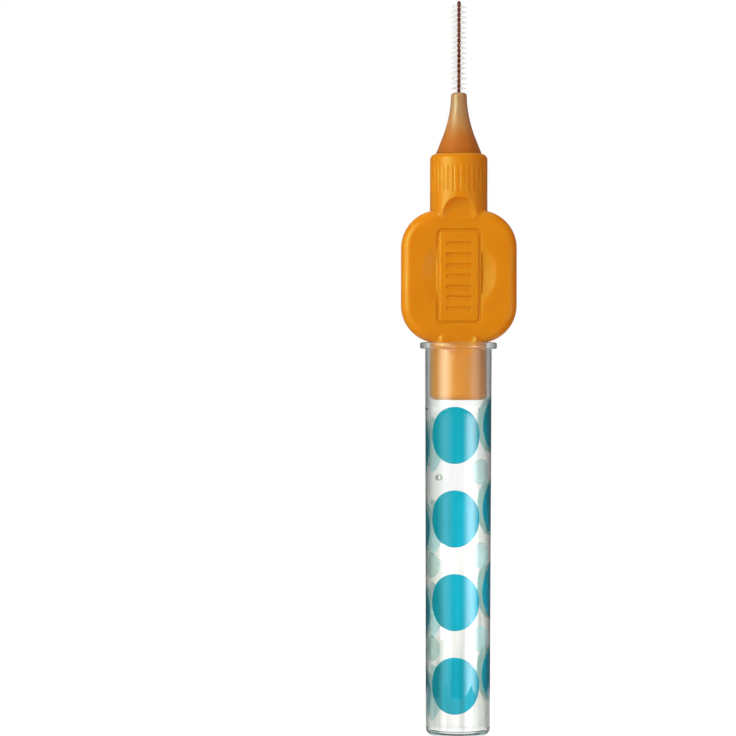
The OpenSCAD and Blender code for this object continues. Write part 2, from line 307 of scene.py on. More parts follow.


# Moulded clear styrene: glass-clear and glossy, with a grey-green body that shows at its edges, where
# painted shade darkens it further
def clearStyrene():
    material, tree, output, place = startMaterial("clear moulded styrene")
    ripple = addNode(tree, "ShaderNodeTexNoise", {"Scale": perMetre(5), "Detail": 1.0}, {"Vector": place})
    bump = addNode(tree, "ShaderNodeBump", {"Strength": 0.08, "Distance": 0.05 * metre},
                   {"Height": ripple.outputs["Fac"]})

    # Painted shade darkens the wall towards its edges, as seen from any side: it stands in for the dark
    # surroundings that the wall mirrors and bends there, on top of the longer way through it
    rim = addNode(tree, "ShaderNodeLayerWeight", {"Blend": 0.5})
    tint = addNode(tree, "ShaderNodeValToRGB", {"stops": [
        (0.0, "#FFFFFF"), (0.085, "#FFFFFF"), (0.13, "#ECF2EE"), (0.185, "#DFE5E0"), (0.262, "#C6CDC7"),
        (0.356, "#B0B8B2"), (0.48, "#7A827E"), (0.675, "#474D4A"), (1.0, "#2A2E2C"),
    ]}, {"Fac": rim.outputs["Facing"]})

    # Streaks of painted shade run along it, darkest near the closed end and fading upward
    drawn = addNode(tree, "ShaderNodeMapping", {"Scale": (1, 1, 0.06)}, {"Vector": place})
    streakNoise = addNode(tree, "ShaderNodeTexNoise", {"Scale": perMetre(1.1), "Detail": 2.0}, {"Vector": drawn})
    streakShade = addNode(tree, "ShaderNodeValToRGB", {"stops": [(0.38, "#FFFFFF"), (0.66, "#B6BBB5")]},
                   {"Fac": streakNoise.outputs["Fac"]})
    height = addNode(tree, "ShaderNodeSeparateXYZ", links={0: place}).outputs["Z"]
    streakFade = addNode(tree, "ShaderNodeMapRange", {
        "From Min": cap["streakFrom"] * metre, "From Max": cap["streakTo"] * metre,
        "To Min": 1.0, "To Max": 0.15,
    }, {"Value": height})
    edgeAndStreakShade = addNode(tree, "ShaderNodeMix", {"data_type": "RGBA", "blend_type": "MULTIPLY"},
                     {0: streakFade, 6: tint, 7: streakShade})

    # Both painted shades tint light only as it enters the upright outside, above the rounded foot and clear
    # of the vent
    flat = addNode(tree, "ShaderNodeVectorMath", {"operation": "MULTIPLY", 1: (1, 1, 0)}, {0: place})
    reach = addNode(tree, "ShaderNodeVectorMath", {"operation": "LENGTH"}, {0: flat})
    outside = addNode(tree, "ShaderNodeMath", {"operation": "GREATER_THAN", 1: cap["outsideFrom"] * metre},
                      {0: reach.outputs["Value"]})
    surface = addNode(tree, "ShaderNodeNewGeometry").outputs
    entering = addNode(tree, "ShaderNodeMath", {"operation": "SUBTRACT", 0: 1.0}, {1: surface["Backfacing"]})
    slant = addNode(tree, "ShaderNodeSeparateXYZ", links={0: surface["True Normal"]}).outputs["Z"]
    lean = addNode(tree, "ShaderNodeMath", {"operation": "ABSOLUTE"}, {0: slant})
    upright = addNode(tree, "ShaderNodeMath", {"operation": "SUBTRACT", 0: 1.0}, {1: lean})
    above = addNode(tree, "ShaderNodeMapRange", {
        "From Min": cap["paintedShadeFrom"] * metre, "From Max": cap["paintedShadeTo"] * metre,
    }, {"Value": height})
    vent = around(cap["ventTurn"], capRadius(cap["ventHeight"]), cap["ventHeight"])
    ventAxis = addNode(tree, "ShaderNodeMapping", {
        "vector_type": "TEXTURE",
        "Location": Vector(vent) * metre,
        "Rotation": (0, 0, math.radians(cap["ventTurn"])),
        "Scale": (1, 3, 1),
    }, {"Vector": place})
    away = addNode(tree, "ShaderNodeVectorMath", {"operation": "LENGTH"}, {0: ventAxis})
    clear = addNode(tree, "ShaderNodeMapRange", {
        "From Min": cap["ventDull"] * metre, "From Max": cap["ventClear"] * metre,
    }, {"Value": away.outputs["Value"]})
    share = outside
    for part in (entering, above, upright, clear):
        share = addNode(tree, "ShaderNodeMath", {"operation": "MULTIPLY"}, {0: share, 1: part})
    shade = addNode(tree, "ShaderNodeMix", {"data_type": "RGBA", 6: linearColour("#FFFFFF")},
                    {0: share, 7: edgeAndStreakShade.outputs[2]})

    # The drilled edge of the vent is dull and lets little through
    dull = addNode(tree, "ShaderNodeMix", {"data_type": "RGBA", 6: linearColour("#B4BAB7")},
                   {0: clear, 7: shade.outputs[2]})
    rough = addNode(tree, "ShaderNodeMapRange", {"To Min": 0.5, "To Max": 0.03}, {"Value": clear})
    through = addNode(tree, "ShaderNodeMapRange", {"To Min": 0.1, "To Max": 1.0}, {"Value": clear})
    plastic = addNode(tree, "ShaderNodeBsdfPrincipled", {"IOR": 1.49}, {
        "Base Color": dull.outputs[2],
        "Roughness": rough,
        "Transmission Weight": through,
        "Normal": bump.outputs["Normal"],
    })
    passing = addNode(tree, "ShaderNodeBsdfTransparent", {"Color": linearColour("#E9EDEB")})
    path = addNode(tree, "ShaderNodeLightPath")
    mix = addNode(tree, "ShaderNodeMixShader", links={
        0: path.outputs["Is Shadow Ray"],
        1: plastic.outputs["BSDF"],
        2: passing.outputs["BSDF"],
    })
    body = addNode(tree, "ShaderNodeVolumeAbsorption", {"Color": linearColour("#9DB8AE"), "Density": 35.0})
    tree.links.new(mix.outputs["Shader"], output.inputs["Surface"])
    tree.links.new(body.outputs["Volume"], output.inputs["Volume"])
    return material


capShell = makeCap()
dress(capShell, clearStyrene(), "cap", ["cap"])
print("cap made:", len(capShell.data.polygons), "faces")


# Printed dots: large ones in three columns that climb to the right, and pale ones halfway between them

dots = {
    "width": 6.84,
    "height": 7.36,
    "paleSize": 3.3,
    "ink": 0.025,
    "lift": -0.04,  # the ink shows just under the gloss, which runs on over it as it does on the cap
    "rows": 4,
    "columns": 3,
    "pitch": 10.79,
    "rise": 1.35,
    "frontRow": 6.8,
    "frontTurn": -7.5,
    "turnStep": 99.5,
    "paleCount": 5,  # the sixth would lie on the vent
    "rings": 14,
    "sides": 72,
}


def flatDisc(name, width, height):  # a closed disc in the XZ plane, with its face towards -Y
    points, faces = [], []
    for depth in (0, dots["ink"]):
        points.append((0, depth, 0))
        for k in range(1, dots["rings"] + 1):
            share = k / dots["rings"] / 2
            for i in range(dots["sides"]):
                a = 2 * math.pi * i / dots["sides"]
                points.append((width * share * math.cos(a), depth, height * share * math.sin(a)))
    count = 1 + dots["rings"] * dots["sides"]
    for base, flip in ((0, False), (count, True)):
        for i in range(dots["sides"]):
            j = (i + 1) % dots["sides"]
            loops = [[base, base + 1 + i, base + 1 + j]]
            for k in range(dots["rings"] - 1):
                near = base + 1 + k * dots["sides"]
                far = near + dots["sides"]
                loops.append([near + i, far + i, far + j, near + j])
            faces += [loop[::-1] for loop in loops] if flip else loops
    rim = 1 + (dots["rings"] - 1) * dots["sides"]
    for i in range(dots["sides"]):
        j = (i + 1) % dots["sides"]
        faces.append([rim + j, rim + i, count + rim + i, count + rim + j])
    return meshFrom(name, points, faces)


def wrapTree(material):  # a grid of discs bent onto the cone; columns run from right to left
    number = "NodeSocketFloat"
    tree, given = treeFor("wrapped dots", {
        "Count": "NodeSocketInt", "Columns": "NodeSocketInt", "First Row": number, "Pitch": number,
        "Rise": number, "First Turn": number, "Turn Step": number, "End Radius": number, "Taper": number,
    })
    index = addNode(tree, "GeometryNodeInputIndex")
    ratio = addNode(tree, "ShaderNodeMath", {"operation": "DIVIDE"}, {0: index, 1: given["Columns"]})
    row = addNode(tree, "ShaderNodeMath", {"operation": "FLOOR"}, {0: ratio})
    column = addNode(tree, "ShaderNodeMath", {"operation": "MODULO"}, {0: index, 1: given["Columns"]})
    climb = addNode(tree, "ShaderNodeMath", {"operation": "MULTIPLY"}, {0: row, 1: given["Pitch"]})
    drop = addNode(tree, "ShaderNodeMath", {"operation": "MULTIPLY"}, {0: column, 1: given["Rise"]})
    offset = addNode(tree, "ShaderNodeMath", {"operation": "SUBTRACT"}, {0: climb, 1: drop})
    height = addNode(tree, "ShaderNodeMath", {"operation": "ADD"}, {0: given["First Row"], 1: offset})
    spot = addNode(tree, "ShaderNodeCombineXYZ", links={"Z": height})
    points = addNode(tree, "GeometryNodePoints", links={"Count": given["Count"], "Position": spot})
    back = addNode(tree, "ShaderNodeMath", {"operation": "MULTIPLY"}, {0: column, 1: given["Turn Step"]})
    firstTurn = addNode(tree, "ShaderNodeMath", {"operation": "SUBTRACT"}, {0: given["First Turn"], 1: back})
    marked = addNode(tree, "GeometryNodeStoreNamedAttribute",
                     {"data_type": "FLOAT", "domain": "POINT", "Name": "turn"},
                     {"Geometry": points, "Value": firstTurn})
    placed = addNode(tree, "GeometryNodeInstanceOnPoints", links={
        "Points": marked, "Instance": given["Geometry"],
    })
    real = addNode(tree, "GeometryNodeRealizeInstances", links={"Geometry": placed})  # to bend each point
    position = addNode(tree, "GeometryNodeInputPosition")
    parts = addNode(tree, "ShaderNodeSeparateXYZ", links={"Vector": position}).outputs
    turn = addNode(tree, "GeometryNodeInputNamedAttribute", {"data_type": "FLOAT", "Name": "turn"})
    widening = addNode(tree, "ShaderNodeMath", {"operation": "MULTIPLY"}, {0: parts["Z"], 1: given["Taper"]})
    radius = addNode(tree, "ShaderNodeMath", {"operation": "ADD"}, {0: given["End Radius"], 1: widening})
    swing = addNode(tree, "ShaderNodeMath", {"operation": "DIVIDE"}, {0: parts["X"], 1: radius})
    angle = addNode(tree, "ShaderNodeMath", {"operation": "ADD"}, {0: turn, 1: swing})
    reach = addNode(tree, "ShaderNodeMath", {"operation": "SUBTRACT"}, {0: radius, 1: parts["Y"]})
    front = addNode(tree, "ShaderNodeMath", {"operation": "MULTIPLY", 1: -1.0}, {0: reach})
    sine = addNode(tree, "ShaderNodeMath", {"operation": "SINE"}, {0: angle})
    cosine = addNode(tree, "ShaderNodeMath", {"operation": "COSINE"}, {0: angle})
    x = addNode(tree, "ShaderNodeMath", {"operation": "MULTIPLY"}, {0: reach, 1: sine})
    y = addNode(tree, "ShaderNodeMath", {"operation": "MULTIPLY"}, {0: front, 1: cosine})
    bent = addNode(tree, "ShaderNodeCombineXYZ", links={"X": x, "Y": y, "Z": parts["Z"]})
    wrapped = addNode(tree, "GeometryNodeSetPosition", links={"Geometry": real, "Position": bent})
    return endTree(tree, wrapped, material)


# Screen-printed ink: even teal outside, and its white base coat seen from inside, both with a painted glow
def printedInk():
    material, tree, output, place = startMaterial("screen-printed teal ink")
    flat = addNode(tree, "ShaderNodeVectorMath", {"operation": "MULTIPLY", 1: (1, 1, 0)}, {0: place})
    outward = addNode(tree, "ShaderNodeVectorMath", {"operation": "NORMALIZE"}, {0: flat})
    facing = addNode(tree, "ShaderNodeNewGeometry")
    match = addNode(tree, "ShaderNodeVectorMath", {"operation": "DOT_PRODUCT"},
                    {0: outward, 1: facing.outputs["True Normal"]})
    mottle = addNode(tree, "ShaderNodeTexNoise", {"Scale": perMetre(0.6), "Detail": 3.0}, {"Vector": place})
    teal = addNode(tree, "ShaderNodeValToRGB", {"stops": [(0.3, "#12829E"), (0.7, "#1A8BA6")]},
                   {"Fac": mottle.outputs["Fac"]})
    side = addNode(tree, "ShaderNodeMath", {"operation": "GREATER_THAN", 1: 0.0},
                   {0: match.outputs["Value"]})
    colour = addNode(tree, "ShaderNodeMix", {"data_type": "RGBA", 6: linearColour("#B5D4D8")},
                     {0: side, 7: teal})
    paintedGlow = addNode(tree, "ShaderNodeMix", {
        "data_type": "RGBA", 6: linearColour("#A8CCD1"), 7: linearColour("#0099AC"),
    }, {0: side})
    ink = addNode(tree, "ShaderNodeBsdfPrincipled", {
        "Roughness": 0.5,
        "Specular IOR Level": 0.0,
        "Emission Strength": 0.5,  # painted glow, standing in for light that soaks through the ink and its white coat
    }, {"Base Color": colour.outputs[2], "Emission Color": paintedGlow.outputs[2]})
    tree.links.new(ink.outputs["BSDF"], output.inputs["Surface"])
    return material


# The same ink printed as a light tint, through which shows what lies behind it
def paleInk():
    material, tree, output, place = startMaterial("screen-printed pale ink")
    mottle = addNode(tree, "ShaderNodeTexNoise", {"Scale": perMetre(0.6), "Detail": 3.0}, {"Vector": place})
    tint = addNode(tree, "ShaderNodeValToRGB", {"stops": [(0.2, "#86C6D2"), (0.8, "#90CDD7")]},
                   {"Fac": mottle.outputs["Fac"]})
    ink = addNode(tree, "ShaderNodeBsdfPrincipled", {
        "Roughness": 0.5,
        "Specular IOR Level": 0.0,
        "Alpha": 0.27,
    }, {"Base Color": tint})
    tree.links.new(ink.outputs["BSDF"], output.inputs["Surface"])
    return material


def printDots(name, size, material, count, columns, row, turn):
    return runTree(flatDisc(name, *size), wrapTree(material), {
        "Count": count,
        "Columns": columns,
        "First Row": row * metre,
        "Pitch": dots["pitch"] * metre,
        "Rise": dots["rise"] * metre,
        "First Turn": math.radians(turn),
        "Turn Step": math.radians(dots["turnStep"]),
        "End Radius": (cap["endRadius"] + dots["ink"] + dots["lift"]) * metre,
        "Taper": cap["draft"] / cap["length"],
    })


inkMaterial = printedInk()
largeDots = printDots(
    "dots_ink", (dots["width"], dots["height"]), inkMaterial,
    dots["rows"] * dots["columns"], dots["columns"],
    dots["frontRow"] + dots["rise"], dots["frontTurn"] + dots["turnStep"],
)
dress(largeDots, inkMaterial, "cap", ["printed_dots"])

paleMaterial = paleInk()
paleDots = printDots(
    "dots_pale", (dots["paleSize"], dots["paleSize"]), paleMaterial,
    dots["paleCount"], dots["columns"] - 1,
    dots["frontRow"] + (dots["pitch"] + dots["rise"]) / 2, dots["frontTurn"] + dots["turnStep"] / 2,
)
dress(paleDots, paleMaterial, "cap", ["pale_dots"])
print("dots printed:", len(largeDots.data.polygons), "and", len(paleDots.data.polygons), "faces")


# Handle: one moulding of a flat grip between two collars, drawn as a distance field and skinned

neckLow, neckHigh = nodeSpan("neck")
handleLow, handleHigh = nodeSpan("handle")
wireLow, wireHigh = nodeSpan("wire")

handle = {
    "foot": handleLow[2],
    "top": neckLow[2],
    "collarLength": 7.4,
    "collarRadius": 3.75,
    "collarEdge": 0.8,
    "gripHalfWidth": handleHigh[0],
    "gripHalfThickness": 2.8,
    "gripCorner": 4.9,
    "gripEdge": 1.2,
    "scoopRim": 3.0,
    "scoopHollow": 1.6,
    "scoopInset": 1.2,
    "scoopPast": 0.04,
    "scoopEdge": 0.12,
    "blend": 0.28,
    "dishRadius": 4.85,
    "dishDepth": 0.74,
    "dishRise": 0.42,
    "dishEdge": 0.08,
    "padHalf": (2.95, 6.2),
    "padCorner": 0.9,
    "grooveWidth": 0.45,
    "grooveDepth": 0.2,
    "grooveFloor": 0.08,
    "cutEdge": 0.06,
    "slots": 7,
    "slotPitch": 1.4,
    "slotLength": 3.3,
    "slotWidth": 0.55,
    "slotDepth": 0.16,
    "slotFloor": 0.1,
    "flutes": 32,
    "fluteDepth": 0.07,
    "fluteFrom": 2.4,
    "fluteTo": 5.8,
    "fluteEase": 0.15,
    "pegRoot": 2.1,
    "pegTip": 0.8,
    "pegHeight": 3.58,
    "pegSunk": 1,
    "wireBore": 0.26,
    "boreBelow": 0.02,
    "gridAcross": 0.11,
    "gridGrip": 0.13,
    "gridCollar": 0.22,
    "gridMargin": 0.3,
    "gridPast": 2.2,  # the fine grid goes on this far past the grip
    "gridEnd": 1,
    "settleSteps": 4,
    "settleMove": 0.05,
    "leastSlope": 0.2,
}
gripFoot = handle["foot"] + handle["collarLength"]
gripTop = handle["top"] - handle["collarLength"]
gripMiddle = (gripFoot + gripTop) / 2


def smoothJoin(a, b, reach):  # both, with a fillet between them
    near = np.maximum(reach - np.abs(a - b), 0) / reach
    return np.minimum(a, b) - near * near * reach / 4


def smoothCut(a, b, reach):  # a with b taken away
    near = np.maximum(reach - np.abs(a + b), 0) / reach
    return np.maximum(a, -b) + near * near * reach / 4


def cornered(u, v, radius):  # distance to the quadrant u < 0, v < 0 with its corner rounded
    u = u + radius
    v = v + radius
    return np.minimum(np.maximum(u, v), 0) + np.hypot(np.maximum(u, 0), np.maximum(v, 0)) - radius


def plate(x, z, halfWidth, halfHeight, corner):
    return cornered(np.abs(x) - halfWidth, np.abs(z) - halfHeight, corner)


def collarField(x, y, z, middle, half):
    side = np.hypot(x, y) - handle["collarRadius"]
    return cornered(side, np.abs(z - middle) - half, handle["collarEdge"])


def handleField(x, y, z):
    face = np.abs(y) - handle["gripHalfThickness"]
    halfHeight = (gripTop - gripFoot) / 2
    outline = plate(x, z - gripMiddle, handle["gripHalfWidth"], halfHeight, handle["gripCorner"])
    grip = cornered(outline, face, handle["gripEdge"])

    half = (handle["collarLength"] + handle["scoopInset"]) / 2
    collars = np.minimum(
        collarField(x, y, z, handle["foot"] + half, half),
        collarField(x, y, z, handle["top"] - half, half),
    )
    flute = np.cos(handle["flutes"] * np.arctan2(x, y)) * 0.5 + 0.5
    along = z - gripTop
    begun = np.clip((along - handle["fluteFrom"]) / handle["fluteEase"], 0, 1)
    window = begun * np.clip((handle["fluteTo"] - along) / handle["fluteEase"], 0, 1)
    collars = collars + handle["fluteDepth"] * window * flute ** 3
    for centre in (gripFoot + handle["scoopInset"], gripTop - handle["scoopInset"]):
        bowl = np.hypot(x, z - centre) - handle["scoopRim"]
        scoop = cornered(bowl, -face - handle["scoopPast"], handle["scoopHollow"])
        collars = smoothCut(collars, scoop, handle["scoopEdge"])
    body = smoothJoin(grip, collars, handle["blend"])

    pad = plate(x, z - gripMiddle, *handle["padHalf"], handle["padCorner"])
    sphere = (handle["dishRadius"] ** 2 + handle["dishDepth"] ** 2) / (2 * handle["dishDepth"])
    rise = z - gripMiddle - handle["dishRise"]
    dish = np.sqrt(x ** 2 + (face - sphere + handle["dishDepth"]) ** 2 + rise ** 2) - sphere
    body = smoothCut(body, smoothCut(dish, pad, handle["cutEdge"]), handle["dishEdge"])
    trough = np.abs(pad + handle["grooveWidth"] / 2) - handle["grooveWidth"] / 2
    groove = cornered(trough, -face - handle["grooveDepth"], handle["grooveFloor"])
    body = smoothCut(body, groove, handle["cutEdge"])
    last = handle["slots"] // 2
    row = np.clip(np.round((z - gripMiddle) / handle["slotPitch"]), -last, last)
    away = z - gripMiddle - row * handle["slotPitch"]
    reach = np.maximum(np.abs(x) - (handle["slotLength"] - handle["slotWidth"]) / 2, 0)
    slot = np.hypot(reach, away) - handle["slotWidth"] / 2
    slot = cornered(slot, -face - handle["slotDepth"], handle["slotFloor"])
    body = smoothCut(body, slot, handle["cutEdge"])

    slope = (handle["pegRoot"] - handle["pegTip"]) / handle["pegHeight"]
    over = z - handle["top"]
    peg = np.maximum((np.hypot(x, y) - handle["pegRoot"] + slope * over) / math.hypot(1, slope),
                     np.maximum(over - handle["pegHeight"], -over - handle["pegSunk"]))
    body = np.minimum(body, peg)
    bore = np.maximum(np.hypot(x, y) - handle["wireBore"], wireLow[2] - handle["boreBelow"] - z)
    return np.maximum(body, -bore)


def skin(field, xs, ys, zs):  # surface nets: one point for each cell that the surface crosses
    values = np.stack([field(xs[:, None], ys[None, :], z) for z in zs], axis=2)
    inside = values < 0
    count = np.zeros(tuple(n - 1 for n in values.shape), np.int8)
    corners = [(i, j, k) for i in (0, 1) for j in (0, 1) for k in (0, 1)]
    nx, ny, nz = count.shape
    for i, j, k in corners:
        count += inside[i:i + nx, j:j + ny, k:k + nz]
    active = np.argwhere((count > 0) & (count < 8))
    index = np.full(count.shape, -1)
    index[tuple(active.T)] = np.arange(len(active))
    axes = (xs, ys, zs)
    total = np.zeros((len(active), 3))
    hits = np.zeros(len(active))
    for a in corners:
        for axis in range(3):
            if a[axis]:
                continue
            b = list(a)
            b[axis] = 1
            ia, ib = active + a, active + b
            va, vb = values[tuple(ia.T)], values[tuple(ib.T)]
            crossed = (va < 0) != (vb < 0)
            part = np.where(crossed, va / np.where(crossed, va - vb, 1), 0)
            for d in range(3):
                pa, pb = axes[d][ia[:, d]], axes[d][ib[:, d]]
                total[:, d] += np.where(crossed, pa + (pb - pa) * part, 0)
            hits += crossed
    points = total / hits[:, None]
    faces = []
    for axis in range(3):
        u, v = (axis + 1) % 3, (axis + 2) % 3
        low = [slice(1, -1)] * 3
        high = list(low)
        low[axis] = slice(0, -1)
        high[axis] = slice(1, None)
        here, there = inside[tuple(low)], inside[tuple(high)]
        for flip in (False, True):
            edges = np.argwhere(here & ~there if not flip else ~here & there)
            edges[:, u] += 1
            edges[:, v] += 1
            ring = []
            for du, dv in ((-1, -1), (0, -1), (0, 0), (-1, 0)):
                cell = edges.copy()
                cell[:, u] += du
                cell[:, v] += dv
                ring.append(index[tuple(cell.T)])
            quads = np.stack(ring if not flip else ring[::-1], axis=1)
            faces.append(quads)
    return points, np.concatenate(faces)


def slopeOf(field, points, step=0.015):
    slope = np.zeros_like(points)
    for axis in range(3):
        shift = np.zeros(3)
        shift[axis] = step
        slope[:, axis] = field(*(points + shift).T) - field(*(points - shift).T)
    return slope / (2 * step)


def makeHandle():
    margin, past, end = handle["gridMargin"], handle["gridPast"], handle["gridEnd"]
    across, fine, coarse = handle["gridAcross"], handle["gridGrip"], handle["gridCollar"]
    wide = handle["gripHalfWidth"] + margin
    deep = handle["collarRadius"] + margin
    xs = np.arange(-wide, wide + across, across)
    ys = np.arange(-deep, deep + across, across)
    zs = np.concatenate([
        np.arange(handle["foot"] - margin, handle["foot"] + end, fine),
        np.arange(handle["foot"] + end, gripFoot - past, coarse),
        np.arange(gripFoot - past, gripTop + past, fine),
        np.arange(gripTop + past, handle["top"] - end, coarse),
        np.arange(handle["top"] - end, handle["top"] + handle["pegHeight"] + margin, fine),
    ])
    keep = np.concatenate([[True], np.diff(zs) > fine / 3])
    points, faces = skin(handleField, xs, ys, zs[keep])
    for _ in range(handle["settleSteps"]):  # each point moves along the slope until it lies on the surface
        slope = slopeOf(handleField, points)
        steep = np.maximum((slope ** 2).sum(1), handle["leastSlope"])
        move = slope * (handleField(*points.T) / steep)[:, None]
        length = np.maximum(np.linalg.norm(move, axis=1), 1e-9)
        points = points - move * np.minimum(1, handle["settleMove"] / length)[:, None]
    normals = slopeOf(handleField, points)
    normals /= np.maximum(np.linalg.norm(normals, axis=1), 1e-9)[:, None]
    return meshFrom("handle_moulding", points, faces.tolist(), normals)


# Injection-moulded polypropylene: waxy semi-gloss orange that light enters a little
def mouldedOrange():
    material, tree, output, place = startMaterial("moulded orange polypropylene")
    cloud = addNode(tree, "ShaderNodeTexNoise", {"Scale": perMetre(4), "Detail": 2.0}, {"Vector": place})
    colour = addNode(tree, "ShaderNodeValToRGB", {"stops": [(0.3, "#DE8A0E"), (0.7, "#E28F11")]},
                     {"Fac": cloud.outputs["Fac"]})
    grain = addNode(tree, "ShaderNodeTexNoise", {"Scale": perMetre(0.35), "Detail": 3.0}, {"Vector": place})
    rough = addNode(tree, "ShaderNodeMapRange", {"To Min": 0.27, "To Max": 0.36},
                    {"Value": grain.outputs["Fac"]})
    bump = addNode(tree, "ShaderNodeBump", {"Strength": 0.25, "Distance": 0.02 * metre},
                   {"Height": grain.outputs["Fac"]})
    plastic = addNode(tree, "ShaderNodeBsdfPrincipled", {
        "IOR": 1.49,
        "Specular IOR Level": 0.36,
        "Specular Tint": linearColour("#AAFFBC"),  # over the orange, this makes its highlights yellow
        "Subsurface Weight": 0.75,
        "Subsurface Radius": (1.0, 0.3, 0.06),
        "Subsurface Scale": 2.6 * metre,
    }, {"Base Color": colour, "Roughness": rough, "Normal": bump.outputs["Normal"]})
    tree.links.new(plastic.outputs["BSDF"], output.inputs["Surface"])
    return material


handleMoulding = makeHandle()
dress(handleMoulding, mouldedOrange(), "brush", ["handle"])
print("handle moulded:", len(handleMoulding.data.polygons), "faces")


# Neck: soft translucent sleeve over the handle's peg, a cone that runs out into a rounded tip

neck = {
    "foot": neckLow[2],
    "height": neckHigh[2] - neckLow[2],
    "baseRadius": 3.0,
    "footEdge": 0.05,
    "coneFrom": 0.6,
    "coneHeight": 2.5,
    "waistRadius": 2.0,
    "tipRadius": 1.05,
    "curveEnd": 7.4,
    "curvePower": 1.8,
    "tipRound": 0.5,
    "cavityRoot": 2.12,
    "cavityTip": 0.82,
    "cavityHeight": 3.62,
    "wireBore": 0.26,
    "sides": 96,
}


def makeNeck():
    run = neck["curveEnd"] - neck["coneHeight"]
    edge, tip = neck["footEdge"], neck["tipRound"]
    profile = [(neck["cavityRoot"], 0), (neck["baseRadius"] - edge, 0), (neck["baseRadius"], edge)]
    for h in np.linspace(neck["coneFrom"], neck["coneHeight"], 5)[:-1]:
        part = h / neck["coneHeight"]
        profile.append((neck["baseRadius"] + (neck["waistRadius"] - neck["baseRadius"]) * part, h))
    for t in np.linspace(0, 1, 16):
        swell = (neck["waistRadius"] - neck["tipRadius"]) * (1 - t) ** neck["curvePower"]
        profile.append((neck["tipRadius"] + swell, neck["coneHeight"] + run * t))
    profile += arc(neck["tipRadius"] - tip, neck["height"] - tip, tip, 0, 90, 8)
    profile += [(neck["wireBore"], neck["height"]), (neck["wireBore"], neck["cavityHeight"])]
    profile += [(neck["cavityTip"], neck["cavityHeight"])]
    points, faces = turned(profile, neck["sides"])
    points = np.array(points) + (0, 0, neck["foot"])
    sleeve = meshFrom("neck_soft", points, faces)
    sleeve.data.set_sharp_from_angle(angle=crisp)
    return sleeve


# Thermoplastic elastomer: satin and milky, warmer where the orange peg shows through it
def softElastomer():
    material, tree, output, place = startMaterial("translucent moulded elastomer")
    height = addNode(tree, "ShaderNodeSeparateXYZ", links={"Vector": place}).outputs["Z"]
    share = addNode(tree, "ShaderNodeMapRange", {
        "From Min": neck["foot"] * metre,
        "From Max": (neck["foot"] + neck["height"]) * metre,
    }, {"Value": height})
    colour = addNode(tree, "ShaderNodeValToRGB", {"stops": [
        (0.0, "#C86A12"), (0.3, "#C97C34"), (0.5, "#C49262"), (0.75, "#B9916E"), (1.0, "#B08A6A"),
    ]}, {"Fac": share})
    grain = addNode(tree, "ShaderNodeTexNoise", {"Scale": perMetre(0.5), "Detail": 2.0}, {"Vector": place})
    bump = addNode(tree, "ShaderNodeBump", {"Strength": 0.2, "Distance": 0.03 * metre},
                   {"Height": grain.outputs["Fac"]})
    soft = addNode(tree, "ShaderNodeBsdfPrincipled", {
        "Roughness": 0.3,
        "IOR": 1.48,
        "Specular IOR Level": 0.6,
        "Subsurface Weight": 0.9,
        "Subsurface Radius": (1.0, 0.7, 0.45),
        "Subsurface Scale": 2.5 * metre,
    }, {"Base Color": colour, "Normal": bump.outputs["Normal"]})
    tree.links.new(soft.outputs["BSDF"], output.inputs["Surface"])
    return material


neckSleeve = makeNeck()
dress(neckSleeve, softElastomer(), "brush", ["neck"])
print("neck made")


# Wire: one length folded into a narrow U and then twisted, with the twist easing out at the loop

wire = {
    "foot": wireLow[2],
    "top": wireHigh[2],
    "radius": 0.115,
    "legOffset": 0.125,
    "lead": 1.33,
    "ease": 0.4,
    "pointsPerTurn": 24,
    "bendPoints": 12,
    "sides": 12,
}
wireLoop = wire["top"] - wire["radius"] - wire["legOffset"]


def foldedWire():  # the U before it is twisted, as one open curve
    offset = wire["legOffset"]
    count = round((wireLoop - wire["foot"]) / wire["lead"] * wire["pointsPerTurn"])
    heights = np.linspace(wire["foot"], wireLoop, count)
    path = [(offset, 0, z) for z in heights]
    bends = np.radians(np.linspace(0, 180, wire["bendPoints"] + 2)[1:-1])
    path += [(offset * math.cos(b), 0, wireLoop + offset * math.sin(b)) for b in bends]
    path += [(-offset, 0, z) for z in heights[::-1]]
    curve = bpy.data.curves.new("wire_twisted", "CURVE")
    curve.dimensions = "3D"
    line = curve.splines.new("POLY")
    line.points.add(len(path) - 1)
    for point, place in zip(line.points, path):
        point.co = [v * metre for v in place] + [1]
    return linked("wire_twisted", curve)


def addTurn(tree, given, height):  # turn of the twist at a height, which runs out below the loop
    over = addNode(tree, "ShaderNodeMath", {"operation": "SUBTRACT"}, {0: height, 1: given["Ease From"]})
    past = addNode(tree, "ShaderNodeMath", {"operation": "MAXIMUM", 1: 0.0}, {0: over})
    squared = addNode(tree, "ShaderNodeMath", {"operation": "MULTIPLY"}, {0: past, 1: past})
    twice = addNode(tree, "ShaderNodeMath", {"operation": "MULTIPLY", 1: 2.0}, {0: given["Ease"]})
    lost = addNode(tree, "ShaderNodeMath", {"operation": "DIVIDE"}, {0: squared, 1: twice})
    climbed = addNode(tree, "ShaderNodeMath", {"operation": "SUBTRACT"}, {0: height, 1: given["Foot"]})
    gained = addNode(tree, "ShaderNodeMath", {"operation": "SUBTRACT"}, {0: climbed, 1: lost})
    turns = addNode(tree, "ShaderNodeMath", {"operation": "DIVIDE"}, {0: gained, 1: given["Lead"]})
    return addNode(tree, "ShaderNodeMath", {"operation": "MULTIPLY", 1: 2 * math.pi}, {0: turns})


twistInputs = {name: "NodeSocketFloat" for name in ("Foot", "Lead", "Ease", "Ease From")}
twistValues = {
    "Foot": wire["foot"] * metre,
    "Lead": wire["lead"] * metre,
    "Ease": wire["ease"] * metre,
    "Ease From": (wireLoop - wire["ease"]) * metre,
}


